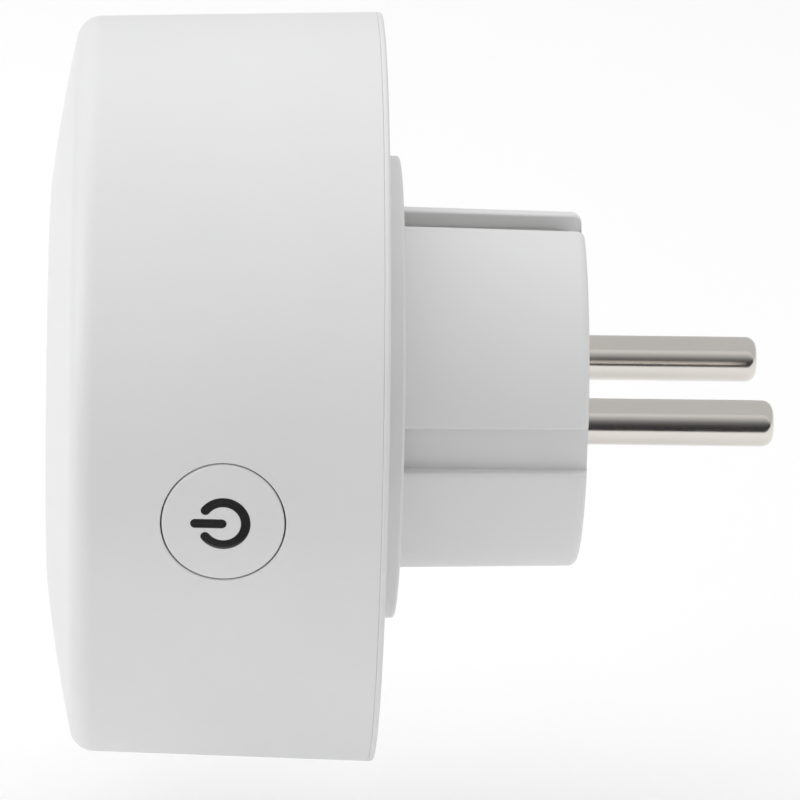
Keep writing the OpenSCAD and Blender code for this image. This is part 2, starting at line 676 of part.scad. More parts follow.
module case_screws() color([0.55, 0.55, 0.57]) for (a = screw_angles) at_angle(a) difference() {
    union() {
        bar_x(x_back - head_well + seat_gap, x_back - head_well + head_t, head_r, screw_at);
        bar_x(x_board - screw_len + 2, x_back - head_well + eps, shank_r, screw_at);
    }
    translate([x_back - head_well + head_t - 0.9, screw_at, 0]) rotate([0, 90, 0])
        cylinder(h = 2, r = 1.2, $fn = 6);
}

module button_board_screws() color([0.55, 0.55, 0.57]) for (side = [-1, 1]) {
    board_back_y = button_board_y + button_board_t;
    bar_y(button_board_y - 3, board_back_y + eps, 0.7, button_x, side * tab_at);
    bar_y(board_back_y + seat_gap, board_back_y + 1, 1.5, button_x, side * tab_at);
}

front_shell();
rear_cover();
socket_insert();
contact_carrier();
pin_carrier();
live_pin();
neutral_pin();
live_contact();
neutral_contact();
front_earth_strap();
rear_earth_strap();
earth_link();
live_in_link();
live_out_link();
neutral_link();
socket_shutter();
shutter_spring();
main_board();
relay();
film_capacitor();
filter_capacitors();
choke();
varistor();
fuse_resistor();
board_chips();
wifi_board();
wifi_shield();
button_cap();
button_light_guide();
tact_switch();
tact_plunger();
button_board();
status_led();
case_screws();
button_board_screws();
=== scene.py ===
"""Smart plug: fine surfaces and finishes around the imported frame, in metres, pins towards +X."""
import json
import math

import bmesh
import bpy
import numpy as np
from mathutils import Matrix, Vector


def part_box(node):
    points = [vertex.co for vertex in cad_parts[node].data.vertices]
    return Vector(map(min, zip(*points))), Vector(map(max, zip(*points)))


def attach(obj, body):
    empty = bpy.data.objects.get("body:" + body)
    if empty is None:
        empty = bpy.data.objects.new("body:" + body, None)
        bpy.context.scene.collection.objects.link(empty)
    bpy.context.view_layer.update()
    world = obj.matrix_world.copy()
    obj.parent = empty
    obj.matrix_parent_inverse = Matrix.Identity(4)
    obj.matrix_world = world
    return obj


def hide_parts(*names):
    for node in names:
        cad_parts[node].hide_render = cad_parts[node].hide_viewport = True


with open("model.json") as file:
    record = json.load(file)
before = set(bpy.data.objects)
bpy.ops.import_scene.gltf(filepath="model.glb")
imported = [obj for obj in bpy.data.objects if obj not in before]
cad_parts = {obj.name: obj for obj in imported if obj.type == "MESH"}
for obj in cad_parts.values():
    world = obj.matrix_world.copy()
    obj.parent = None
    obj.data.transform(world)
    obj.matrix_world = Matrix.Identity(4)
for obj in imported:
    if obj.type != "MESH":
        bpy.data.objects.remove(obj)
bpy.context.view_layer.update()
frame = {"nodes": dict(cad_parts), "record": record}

bl_info = {
    "name": "Smart Plug",
    "version": (1, 0, 0),
    "blender": (4, 5, 0),
    "location": "View3D > Sidebar > Smart Plug",
    "description": "Builds the visible pieces of a smart plug around its frame",
    "category": "Object",
}

MM = 0.001
X_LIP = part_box("front_shell")[0].x
X_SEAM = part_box("front_shell")[1].x
X_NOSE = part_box("rear_cover")[1].x
X_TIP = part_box("live_pin")[1].x
BODY_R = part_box("rear_cover")[1].y
BUTTON_LOW, BUTTON_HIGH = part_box("button_cap")
BUTTON_X = (BUTTON_LOW.x + BUTTON_HIGH.x) / 2
BUTTON_IN_Y = BUTTON_HIGH.y
BOARD_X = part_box("main_board")[0].x
BOARD_BACK_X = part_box("main_board")[1].x
PIN_Y = (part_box("neutral_pin")[0].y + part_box("neutral_pin")[1].y) / 2
PIN_ROOT_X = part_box("live_pin")[0].x
SCREW_MARGIN = 7.7 * MM     # from the outer edge to the screws' axes
GROOVE_LIP = 0.28 * MM      # rounding of the grooves' lips
SKIN_GAP = 0.02 * MM        # how far a surface stays off the piece that it meets
SLEEVE_END_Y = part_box("button_board")[0].y - SKIN_GAP


def length(name, description, value):
    """A size in metres, with its default given in millimetres."""
    return bpy.props.FloatProperty(
        name=name, description=description, default=value * MM, min=0.0, precision=5, unit="LENGTH")


def colour(name, description, value):
    """A colour with its default."""
    return bpy.props.FloatVectorProperty(
        name=name, description=description, default=value, size=3, min=0.0, max=1.0, subtype="COLOR")


class SmartPlugCasing(bpy.types.PropertyGroup):
    """Sizes of the front shell and the rear cover"""
    wall: length("Wall", "Thickness of the shells", 2.0)
    draft: bpy.props.FloatProperty(
        name="Draft", description="Draft of the side wall", default=math.radians(1.6), subtype="ANGLE")
    dome_rise: length("Dome rise", "Fall of the domed front", 2.5)
    edge_radius: length("Edge radius", "Radius of the rounded front edge", 2.6)
    edge_slope: bpy.props.FloatProperty(
        name="Edge slope", description="Slope of the dome at its edge",
        default=math.radians(12), subtype="ANGLE")
    opening_radius: length("Opening", "Radius of the opening for the socket cup", 20.6)
    lip: length("Lip", "Width of the flat lip round the opening", 0.6)
    plate: length("Plate", "Thickness of the rear cover's plate", 2.0)
    disc_radius: length("Disc", "Radius of the raised disc", 24.2)
    disc_height: length("Disc height", "Height of the raised disc", 2.1)


class SmartPlugNose(bpy.types.PropertyGroup):
    """Sizes of the plug nose and its pins"""
    root_radius: length("Root radius", "Radius of the nose at the disc", 18.9)
    end_radius: length("End radius", "Radius of the nose at its end", 18.55)
    groove_half: length("Half groove", "Half of the width of the grooves", 2.4)
    earth_floor: length("Earth floor", "Distance of the earth grooves' floors from the axis", 16.45)
    guide_floor: length("Guide floor", "Distance of the guide grooves' floors from the axis", 17.05)
    end_opening: length("End opening", "Radius of the opening for the pin carrier", 13.65)
    end_round: length("End round", "Rounding of the nose's end", 0.8)
    pin_radius: length("Pin radius", "Radius of the pins", 2.4)
    tip_round: length("Tip round", "Rounding of the pins' tips", 1.3)


class SmartPlugButton(bpy.types.PropertyGroup):
    """Sizes of the power button and its symbol"""
    radius: length("Radius", "Radius of the button", 6.05)
    hole: length("Hole", "Radius of the hole that the button sits in", 6.2)
    hole_round: length("Hole round", "Rounding of the hole's edge", 0.12)
    face: length("Face", "Thickness of the button's face", 1.8)
    line: length("Line", "Line width of the symbol", 0.95)
    ring: length("Ring", "Radius of the symbol's ring, at the middle of its line", 2.225)


class SmartPlugFinish(bpy.types.PropertyGroup):
    """Colours of the finishes"""
    case: colour("Case", "Satin white of the casing", (0.755, 0.755, 0.757))
    socket: colour("Socket", "White of the socket cup and the pin carrier", (0.745, 0.745, 0.745))
    smoke: colour("Smoke", "Smoked window of the power symbol", (0.020, 0.019, 0.020))
    nickel: colour("Nickel", "Bright nickel of the pins", (0.79, 0.75, 0.705))


class SmartPlugStage(bpy.types.PropertyGroup):
    """Camera, light and floor"""
    azimuth: bpy.props.FloatProperty(
        name="Azimuth", description="Turn of the view from +Y towards +X",
        default=math.radians(2.5), subtype="ANGLE")
    elevation: bpy.props.FloatProperty(
        name="Elevation", description="Height of the camera above the axis",
        default=math.radians(20.8), subtype="ANGLE")
    roll: bpy.props.FloatProperty(
        name="Roll", description="Roll of the camera", default=math.radians(1.55), subtype="ANGLE")
    distance: length("Distance", "From the camera to the axis", 590.0)
    across: bpy.props.FloatProperty(
        name="Across", description="Shift of the camera to its right", default=0.42 * MM, unit="LENGTH")
    upwards: bpy.props.FloatProperty(
        name="Upwards", description="Shift of the camera upwards", default=-1.39 * MM, unit="LENGTH")
    lens: bpy.props.FloatProperty(
        name="Lens", description="Focal length in millimetres", default=253.3, min=1.0)
    floor_drop: length("Floor drop", "From the body's lowest point to the floor", 22.0)
    sky: bpy.props.FloatProperty(name="Sky", description="Even light all round", default=0.605, min=0.0)


# ---------- surfaces ----------

SUPPORT = 0.06 * MM     # rows beside each corner keep the shading of flat faces flat
STEP = 1.2 * MM


def arc(centre, radius, start, end, steps):
    """Points of a circular arc: centre plus radius times (cosine, sine) of an evenly stepped angle."""
    t = np.radians(np.linspace(start, end, steps + 1))
    return np.column_stack([centre[0] + radius * np.cos(t), centre[1] + radius * np.sin(t)])


def rounded(corners, steps=7):
    """Outline through (a, b, fillet) corners. Each fillet is the arc about the point that lies its
    radius away from both sides, from one touching point to the other."""
    c = np.array(corners, float)
    parts = [c[:1, :2]]
    for before, here, after in zip(c[:-2], c[1:-1], c[2:]):
        back, ahead = before[:2] - here[:2], after[:2] - here[:2]
        room = 0.49 * min(np.linalg.norm(back), np.linalg.norm(ahead))
        back, ahead = back / np.linalg.norm(back), ahead / np.linalg.norm(ahead)
        half = math.acos(np.clip(back @ ahead, -1, 1)) / 2
        if here[2] <= 0 or abs(half - math.pi / 2) < 1e-4:
            parts.append(here[None, :2])
            continue
        reach = min(here[2] / math.tan(half), room)
        radius = reach * math.tan(half)
        middle = here[:2] + (back + ahead) / np.linalg.norm(back + ahead) * radius / math.sin(half)
        first, last = here[:2] + back * reach - middle, here[:2] + ahead * reach - middle
        turn = math.pi - 2 * half
        t = np.linspace(0, 1, steps + 1)[:, None]
        swing = (np.sin((1 - t) * turn) * first + np.sin(t * turn) * last) / math.sin(turn)
        parts.append(middle + swing)
    parts.append(c[-1:, :2])
    return np.concatenate(parts)


def supported(points, step=STEP):
    """The same outline with extra points along its long sides: one close to each end, the rest even."""
    parts = []
    for a, b in zip(points[:-1], points[1:]):
        size = np.linalg.norm(b - a)
        if size < 4 * SUPPORT:
            parts.append(a[None])
            continue
        inner = np.linspace(SUPPORT / size, 1 - SUPPORT / size, max(2, int(size / step) + 2))
        parts.append(a + (b - a) * np.concatenate([[0], inner])[:, None])
    parts.append(points[-1:])
    return np.concatenate(parts)


def lathe(profile, angles):
    """Surface of revolution about X: (x, r) turns into (x, r cos t, r sin t)."""
    x, r = profile[:, :1], profile[:, 1:]
    return np.stack([x + 0 * angles, r * np.cos(angles), r * np.sin(angles)], axis=-1)


def whole_turn(count):
    """Evenly stepped angles of a whole turn, without the last."""
    return np.arange(count) * 2 * math.pi / count


class Skin:
    """Gathers grids of points into one mesh, joins their shared points and turns its faces outwards."""

    def __init__(self):
        self.points, self.quads, self.count = [], [], 0

    def grid(self, points, wrap=True, holes=()):
        """Quads between neighbouring rows and columns, without the cells (i0, i1, j0, j1) of each hole."""
        rows, columns = points.shape[:2]
        index = np.arange(rows * columns).reshape(rows, columns) + self.count
        if wrap:
            index = np.hstack([index, index[:, :1]])
        cells = np.stack([index[:-1, :-1], index[1:, :-1], index[1:, 1:], index[:-1, 1:]], axis=-1)
        keep = np.ones(cells.shape[:2], bool)
        for i0, i1, j0, j1 in holes:
            keep[i0:i1, j0:j1] = False
        self.points.append(points.reshape(-1, 3))
        self.quads.append(cells[keep])
        self.count += rows * columns
        return self

    def make(self, name, body, node, slot, material, sharp=32):
        """The finished piece, which rides on a body and stands for a node."""
        points, quads = np.concatenate(self.points), np.concatenate(self.quads)
        _, first, same = np.unique(np.round(points / 2e-8), axis=0, return_index=True, return_inverse=True)
        quads = same.reshape(-1)[quads]
        distinct = quads != np.roll(quads, 1, axis=1)
        faces = [face[keep].tolist() for face, keep in zip(quads, distinct) if keep.sum() > 2]
        mesh = bpy.data.meshes.new(name)
        mesh.from_pydata(points[first].tolist(), [], faces)
        work = bmesh.new()
        work.from_mesh(mesh)
        bmesh.ops.recalc_face_normals(work, faces=work.faces)
        work.to_mesh(mesh)
        work.free()
        mesh.shade_smooth()
        mesh.set_sharp_from_angle(angle=math.radians(sharp))
        mesh.materials.append(material)
        piece = bpy.data.objects.new(name, mesh)
        bpy.context.scene.collection.objects.link(piece)
        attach(piece, body)
        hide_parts(node)
        return piece


def border(grid, cells):
    """Points round a block of cells, once round, in order."""
    i0, i1, j0, j1 = cells
    return np.concatenate([grid[i0, j0:j1], grid[i0:i1, j1], grid[i1, j1:j0:-1], grid[i1:i0:-1, j0]])


def rings(outer, inner, flat, centre, route, height):
    """Surface from one border to another through a hole.

    flat picks the two coordinates that the hole is round in, and height the third. Each stop of
    the route is (radius, height), where height is a number or a surface of the flat coordinates.
    A ring at a stop has the direction of the border's points from the centre, so it is the centre
    plus radius times the unit direction. Stops that lie on a wall's surface follow that surface.
    """
    way = outer[:, flat] - centre
    way = way / np.linalg.norm(way, axis=1)[:, None]
    rows = [outer]
    for radius, level in route:
        spot = centre + radius * way
        row = np.empty_like(outer)
        row[:, flat] = spot
        row[:, height] = level(spot) if callable(level) else level
        rows.append(row)
    rows.append(inner)
    return np.stack(rows)


def spread(border_points, flat, centre, radius, surface, height, steps):
    """Rows that ease from a border to a circle on a surface: a straight mix of the two, eased so
    that the rows close up towards the circle."""
    here = border_points[:, flat]
    way = here - centre
    rim = centre + radius * way / np.linalg.norm(way, axis=1)[:, None]
    rows = []
    for t in np.linspace(0, 1, steps + 1)[1:]:
        s = 1 - (1 - t) ** 1.6
        row = np.empty_like(border_points)
        row[:, flat] = here * (1 - s) + rim * s
        row[:, height] = surface(row[:, flat])
        rows.append(row)
    return rows


# ---------- finishes ----------

FINISH = "_finish"      # the frame brings plain materials that already bear the slots' names


def made_finish(slot):
    """The finish that was made for a material slot."""
    return bpy.data.materials[slot + FINISH]


def shader(name, base, roughness, metallic=0.0, **sockets):
    """A principled material with its even values on the shader's own sockets."""
    material = bpy.data.materials.new(name + FINISH)
    material.use_nodes = True
    nodes = material.node_tree.nodes
    surface = nodes["Principled BSDF"]
    surface.inputs["Base Color"].default_value = (*base, 1)
    surface.inputs["Roughness"].default_value = roughness
    surface.inputs["Metallic"].default_value = metallic
    for socket, value in sockets.items():
        surface.inputs[socket.replace("_", " ")].default_value = value
    return material, surface


def noise(material, scale, stretch=(1, 1, 1), detail=3.0, roughness=0.5):
    """Noise on Object coordinates; scale counts its waves in a metre."""
    nodes, links = material.node_tree.nodes, material.node_tree.links
    place = nodes.new("ShaderNodeTexCoord")
    turn = nodes.new("ShaderNodeMapping")
    turn.inputs["Scale"].default_value = stretch
    wave = nodes.new("ShaderNodeTexNoise")
    wave.inputs["Scale"].default_value = scale
    wave.inputs["Detail"].default_value = detail
    wave.inputs["Roughness"].default_value = roughness
    links.new(place.outputs["Object"], turn.inputs["Vector"])
    links.new(turn.outputs["Vector"], wave.inputs["Vector"])
    return wave.outputs["Fac"]


def vary(material, value, low, high, socket):
    """Spreads a 0 to 1 value from low to high into a socket of the shader."""
    nodes, links = material.node_tree.nodes, material.node_tree.links
    span = nodes.new("ShaderNodeMapRange")
    span.inputs["To Min"].default_value = low
    span.inputs["To Max"].default_value = high
    links.new(value, span.inputs["Value"])
    links.new(span.outputs["Result"], socket)


def tint(material, value, dark, light, socket):
    """Mixes two colours by a 0 to 1 value into a socket of the shader."""
    nodes, links = material.node_tree.nodes, material.node_tree.links
    ramp = nodes.new("ShaderNodeValToRGB")
    ramp.color_ramp.elements[0].color = (*dark, 1)
    ramp.color_ramp.elements[1].color = (*light, 1)
    ramp.color_ramp.elements[0].position = 0.3
    ramp.color_ramp.elements[1].position = 0.7
    links.new(value, ramp.inputs["Fac"])
    links.new(ramp.outputs["Color"], socket)


def grain(material, surface, value, depth, strength=1.0):
    """Raises the surface by depth, in metres, where the value is high."""
    nodes, links = material.node_tree.nodes, material.node_tree.links
    bump = nodes.new("ShaderNodeBump")
    bump.inputs["Strength"].default_value = strength
    bump.inputs["Distance"].default_value = depth
    links.new(value, bump.inputs["Height"])
    links.new(bump.outputs["Normal"], surface.inputs["Normal"])


def scaled(base, factor):
    """A colour made darker or lighter."""
    return tuple(min(1.0, c * factor) for c in base)


def moulded(name, base, roughness, grain_depth=0.004, spread_of_colour=0.012):
    """Moulded plastic: fine spark-eroded grain, faint flow shading and patchy gloss."""
    material, surface = shader(name, base, roughness, IOR=1.5)
    flow = noise(material, 45, detail=2)
    tint(material, flow, scaled(base, 1 - spread_of_colour), scaled(base, 1 + spread_of_colour),
         surface.inputs["Base Color"])
    vary(material, noise(material, 900), roughness - 0.05, roughness + 0.05, surface.inputs["Roughness"])
    grain(material, surface, noise(material, 5200, detail=2), grain_depth * MM)
    return material


def metal(name, base, roughness, stretch, scale=2500, wear=0.06):
    """Metal with fine marks along one direction, and patches that are a little duller."""
    material, surface = shader(name, base, roughness, metallic=1.0)
    tint(material, noise(material, 160, detail=4), scaled(base, 1 - wear), base,
         surface.inputs["Base Color"])
    marks = noise(material, scale, stretch, detail=4)
    vary(material, marks, roughness * 0.75, roughness * 1.35, surface.inputs["Roughness"])
    grain(material, surface, marks, 0.0012 * MM)
    return material


def board(name, base):
    """Circuit board: solder mask over copper areas that show a little lighter."""
    material, surface = shader(name, base, 0.35, Coat_Weight=0.3)
    tint(material, noise(material, 420, (1, 1, 1), detail=0), base, scaled(base, 1.7),
         surface.inputs["Base Color"])
    grain(material, surface, noise(material, 2600), 0.01 * MM)
    return material


def smoked(name, base):
    """Smoked window: glossy and nearly black, with faint polishing marks."""
    material, surface = shader(name, base, 0.1, IOR=1.55, Coat_Weight=0.4, Coat_Roughness=0.05)
    vary(material, noise(material, 1400), 0.07, 0.14, surface.inputs["Roughness"])
    tint(material, noise(material, 300), base, scaled(base, 1.5), surface.inputs["Base Color"])
    return material


def finish_for(record_material):
    """The finish of a CAD node, chosen by the class of its slot in the record."""
    slot, kind = record_material["slot"], record_material["class"]
    base = tuple(record_material["base_color"][:3])
    if "board" in slot:
        return board(slot, base)
    if kind in ("chrome", "brass", "brushed_steel", "aluminium"):
        return metal(slot, base, 0.18 if kind == "chrome" else 0.3, (1, 6, 6))
    return moulded(slot, base, 0.3 if kind == "gloss_plastic" else 0.5, spread_of_colour=0.03)


# ---------- operators ----------

def settings(name):
    """A group of the scene's smart plug settings."""
    return getattr(bpy.context.scene, "smart_plug_" + name)


def wall_radius(x):
    """Outer radius of the drafted side wall: it grows with x by the draft's tangent."""
    c = settings("casing")
    return BODY_R + (x + c.disc_height) * math.tan(c.draft)


def on_wall(inset):
    """Surface of the wall near the button: y is minus the root of (radius squared less z squared)."""
    def surface(spot):
        radius = wall_radius(spot[:, 0]) - inset
        return -np.sqrt(radius ** 2 - spot[:, 1] ** 2)
    return surface


class SMARTPLUG_OT_finishes(bpy.types.Operator):
    """Makes every finish and puts it on the CAD nodes"""
    bl_idname = "smart_plug.finishes"
    bl_label = "Finishes"

    def execute(self, context):
        finish = settings("finish")
        made = {
            "white_case": moulded("white_case", tuple(finish.case), 0.36),
            "white_socket": moulded("white_socket", tuple(finish.socket), 0.33),
            "smoked_window": smoked("smoked_window", tuple(finish.smoke)),
            "nickel_pin": metal("nickel_pin", tuple(finish.nickel), 0.17, (0.12, 1, 1), 3200, 0.03),
        }
        for material in frame["record"]["materials"]:
            if material["slot"] not in made:
                made[material["slot"]] = finish_for(material)
        for part in frame["record"]["subparts"]:
            node = frame["nodes"][part["node"]]
            node.data.materials.clear()
            node.data.materials.append(made[part["material_slot"]])
        return {"FINISHED"}


class SMARTPLUG_OT_front_shell(bpy.types.Operator):
    """Builds the domed front shell with its rounded edge, button hole and sleeve"""
    bl_idname = "smart_plug.front_shell"
    bl_label = "Front shell"

    def execute(self, context):
        c, b = settings("casing"), settings("button")
        slope, draft = math.degrees(c.edge_slope), math.degrees(c.draft)
        edge_x = X_LIP + c.dome_rise + c.edge_radius * math.cos(c.edge_slope)
        edge_r = (wall_radius(edge_x - c.edge_radius * math.sin(c.draft))
                  - c.edge_radius * math.cos(c.draft))
        dome_out = edge_r + c.edge_radius * math.sin(c.edge_slope)
        dome_in = c.opening_radius + c.lip
        lip_slope = 2 * math.atan(c.dome_rise / (dome_out - dome_in)) - c.edge_slope
        dome = (dome_out - dome_in) / (math.sin(c.edge_slope) - math.sin(lip_slope))
        dome_x = X_LIP + c.dome_rise + dome * math.cos(c.edge_slope)
        dome_r = dome_out - dome * math.sin(c.edge_slope)

        def front(inset, steps):
            """Dome and rounded edge, from the lip outwards, moved inwards by inset."""
            face = arc((dome_x, dome_r), dome - inset, 180 - math.degrees(lip_slope), 180 - slope, steps)
            bend = arc((edge_x, edge_r), max(c.edge_radius - inset, 0.1 * MM),
                       180 - slope, 90 + draft, steps)
            return face, bend

        def wall(x_far, inset, count=22):
            """Stations of the straight wall, from the edge to the seam."""
            x = np.concatenate([[x_far, x_far + SUPPORT], np.linspace(x_far + 1.3 * MM, X_SEAM, count)[:-1],
                                [X_SEAM - 0.18 * MM]])
            return np.column_stack([x, wall_radius(x) - inset / math.cos(c.draft)])

        face, bend = front(0, 20)
        inner_face, inner_bend = front(c.wall, 20)
        far = bend[-1, 0]
        inner_far = far + SUPPORT
        outer_wall = wall(far, 0)
        inner_wall = wall(inner_far, c.wall)
        seam_in = wall_radius(X_SEAM) - c.wall / math.cos(c.draft)
        seam = rounded([(*outer_wall[-1], 0), (X_SEAM, wall_radius(X_SEAM), 0.12 * MM),
                        (X_SEAM, seam_in, 0.05 * MM), (*inner_wall[-1], 0)])
        lip = rounded([(inner_face[0, 0], c.opening_radius, 0), (X_LIP, c.opening_radius, 0.25 * MM),
                       (face[0, 0], face[0, 1], 0)])
        angles = whole_turn(360)
        button_cells = []
        for stations in (outer_wall, inner_wall):
            i0, i1 = np.searchsorted(stations[:, 0], [BUTTON_X - 9.4 * MM, BUTTON_X + 9.4 * MM])
            button_cells.append((i0, i1))
        if button_cells[0][1] - button_cells[0][0] != button_cells[1][1] - button_cells[1][0]:
            raise RuntimeError("the wall's stations differ between its two sides")
        j0, j1 = 180 - 14, 180 + 14
        outer_grid, inner_grid = lathe(outer_wall, angles), lathe(inner_wall, angles)
        (o0, o1), (n0, n1) = button_cells
        skin = Skin()
        skin.grid(outer_grid, holes=[(o0, o1, j0, j1)])
        skin.grid(inner_grid, holes=[(n0, n1, j0, j1)])
        skin.grid(lathe(seam, angles))
        skin.grid(lathe(supported(lip, 3 * MM), angles))
        skin.grid(lathe(np.concatenate([face, bend[1:]]), angles))
        inner = np.concatenate([[[inner_face[0, 0], c.opening_radius]], inner_face, inner_bend[1:],
                                inner_wall[:1]])
        skin.grid(lathe(inner, angles))
        # the button's hole, step and sleeve
        flat, centre = [0, 2], np.array([BUTTON_X, 0.0])
        outside, inside = on_wall(0), on_wall(c.wall)
        outer_edge, inner_edge = border(outer_grid, (o0, o1, j0, j1)), border(inner_grid, (n0, n1, j0, j1))
        stop = BUTTON_IN_Y - 0.84 * MM
        wide, sleeve = b.radius + 1.35 * MM, b.radius + 2.95 * MM
        t = np.radians(np.linspace(0, 90, 6))
        fillet = [(b.hole + b.hole_round * (1 - math.sin(a)),
                   lambda spot, a=a: outside(spot) + b.hole_round * (1 - math.cos(a))) for a in t]
        spots = spread(outer_edge, flat, centre, b.hole + b.hole_round + SUPPORT, outside, 1, 8)
        route = fillet + [(b.hole, stop), (wide, stop), (wide, SLEEVE_END_Y), (sleeve, SLEEVE_END_Y),
                          (sleeve, inside)]
        strip = rings(spots[-1], inner_edge, flat, centre, route, 1)
        skin.grid(np.concatenate([outer_edge[None], spots[:-1], strip]))
        # screw bosses, each a tube that stands on the dome
        for quarter in (45, 135, 225, 315):
            boss = rounded([(BOARD_X, 1.15 * MM, 0), (BOARD_X, 3.2 * MM, 0.15 * MM),
                            (X_LIP + 3.6 * MM, 3.2 * MM, 0)])
            bore = rounded([(BOARD_X, 1.15 * MM, 0), (BOARD_X - 14 * MM, 1.15 * MM, 0),
                            (BOARD_X - 14 * MM, 0.0, 0)])
            foot = rounded([(X_LIP + 3.6 * MM, 3.2 * MM, 0), (X_LIP + 3.6 * MM, 0.0, 0)])
            way = math.radians(quarter)
            at = (BODY_R - SCREW_MARGIN) * np.array([0, math.cos(way), math.sin(way)])
            for outline in (boss, bore, foot):
                skin.grid(lathe(outline, whole_turn(40)) + at)
        finish = made_finish("white_case")
        skin.make("front_shell_skin", "casing", "front_shell", "white_case", finish)
        return {"FINISHED"}


class SMARTPLUG_OT_rear_cover(bpy.types.Operator):
    """Builds the rear cover: its edge, the raised disc, and the nose with its grooves"""
    bl_idname = "smart_plug.rear_cover"
    bl_label = "Rear cover"

    def execute(self, context):
        c, n = settings("casing"), settings("nose")
        lip, wall_rows, floor_rows, arc_rows = 5, 4, 8, 44

        def groove(radius, floor):
            """Half of a groove in its own frame, from the arc to the middle of its floor: a rounded
            lip, a wall at half the groove's width and a flat floor."""
            u, small = n.groove_half, GROOVE_LIP
            top = math.sqrt(radius ** 2 - (u + small) ** 2)
            t = np.radians(np.linspace(90, 180, lip + 1))
            bend = np.column_stack([u + small + small * np.cos(t), top - small + small * np.sin(t)])
            drop = np.column_stack([np.full(wall_rows, u),
                                    np.linspace(top - small, floor, wall_rows + 1)[1:]])
            flat = np.column_stack([np.linspace(u, 0, floor_rows + 1)[1:], np.full(floor_rows, floor)])
            return np.concatenate([bend, drop, flat])

        def outline(radius):
            """Cross-section of the nose: four arcs of the radius, and between them four grooves,
            counted from +Y, each turned to its own side."""
            points = []
            for quarter in range(4):
                floor = n.guide_floor if quarter % 2 == 0 else n.earth_floor
                half = groove(radius, floor)
                side = np.concatenate([half, (half * [-1, 1])[-2::-1]])
                edge = math.asin(side[0, 0] / radius)
                far = math.pi / 2 - edge
                turn = quarter * math.pi / 2
                u, v = side[::-1].T
                cut = np.column_stack([v * math.cos(turn) - u * math.sin(turn),
                                       v * math.sin(turn) + u * math.cos(turn)])
                t = turn + np.linspace(edge, far, arc_rows + 1)[1:-1]
                points += [cut, radius * np.column_stack([np.cos(t), np.sin(t)])]
            return np.concatenate(points)

        def even_angles(radius):
            """Angles for the round rows: the arcs keep theirs, and the grooves' points are spread evenly."""
            count = 2 * (lip + 1 + wall_rows + floor_rows) - 1
            edge = math.asin((n.groove_half + GROOVE_LIP) / radius)
            parts = []
            for quarter in range(4):
                turn = quarter * math.pi / 2
                parts += [turn + np.linspace(-edge, edge, count),
                          turn + np.linspace(edge, math.pi / 2 - edge, arc_rows + 1)[1:-1]]
            return np.concatenate(parts)

        angles = even_angles(n.root_radius)
        disc_x = -c.disc_height
        wall_r = wall_radius(disc_x)
        seam_in = wall_radius(X_SEAM) - c.wall / math.cos(c.draft) - 0.1 * MM
        plate_x = disc_x - c.plate
        edge_rows = rounded([(X_SEAM, seam_in, 0), (X_SEAM, wall_radius(X_SEAM), 0.1 * MM),
                             (disc_x, wall_r, 0.35 * MM), (disc_x, wall_r - 1.1 * MM, 0)])
        # the flat back, with the screws' wells, and the plate's inner face at the same radii
        radii = np.linspace(wall_r - 1.1 * MM, c.disc_radius + 1.0 * MM, 15)
        back_grid = lathe(np.column_stack([np.full(15, disc_x), radii]), angles)
        plate_grid = lathe(np.column_stack([np.full(15, plate_x), radii - 0.9 * MM]), angles)
        disc = rounded([(disc_x, radii[-1], 0), (disc_x, c.disc_radius, 0.12 * MM),
                        (0, c.disc_radius, 0.35 * MM), (0, n.root_radius + 2.2 * MM, 0)])
        register = rounded([(plate_x, radii[0] - 0.9 * MM, 0), (plate_x, seam_in - 1.7 * MM, 0.2 * MM),
                            (plate_x - 1.2 * MM, seam_in - 1.6 * MM, 0.1 * MM),
                            (plate_x - 1.2 * MM, seam_in - 0.1 * MM, 0.15 * MM), (X_SEAM, seam_in, 0)])
        columns = len(angles)
        bite = []
        for quarter in (1, 3, 5, 7):
            middle = quarter * math.pi / 4
            j = np.argmin(abs(angles - middle))
            reach = np.argmin(abs(angles - (middle + math.radians(9)))) - j
            bite.append((j - reach, j + reach, middle))
        i0, i1 = 3, 11
        holes = [(i0, i1, low, high) for low, high, _ in bite]
        skin = Skin()
        skin.grid(lathe(edge_rows, angles)).grid(lathe(supported(disc), angles)).grid(lathe(register, angles))
        skin.grid(back_grid, holes=holes).grid(plate_grid, holes=holes)
        well, bore, post, well_x = 2.7 * MM, 1.4 * MM, 4.0 * MM, disc_x - 2.2 * MM
        for low, high, middle in bite:
            centre = (BODY_R - SCREW_MARGIN) * np.array([math.cos(middle), math.sin(middle)])
            outer_edge = border(back_grid, (i0, i1, low, high))
            inner_edge = border(plate_grid, (i0, i1, low, high))
            level = lambda spot: np.full(len(spot), disc_x)
            spots = spread(outer_edge, [1, 2], centre, well + 0.15 * MM, level, 0, 5)
            route = [(well + 0.05 * MM, disc_x - 0.02 * MM), (well, disc_x - 0.1 * MM), (well, well_x),
                     (bore, well_x), (bore, BOARD_BACK_X + SKIN_GAP),
                     (post, BOARD_BACK_X + SKIN_GAP), (post, plate_x)]
            strip = rings(spots[-1], inner_edge, [1, 2], centre, route, 0)
            skin.grid(np.concatenate([outer_edge[None], spots[:-1], strip]))
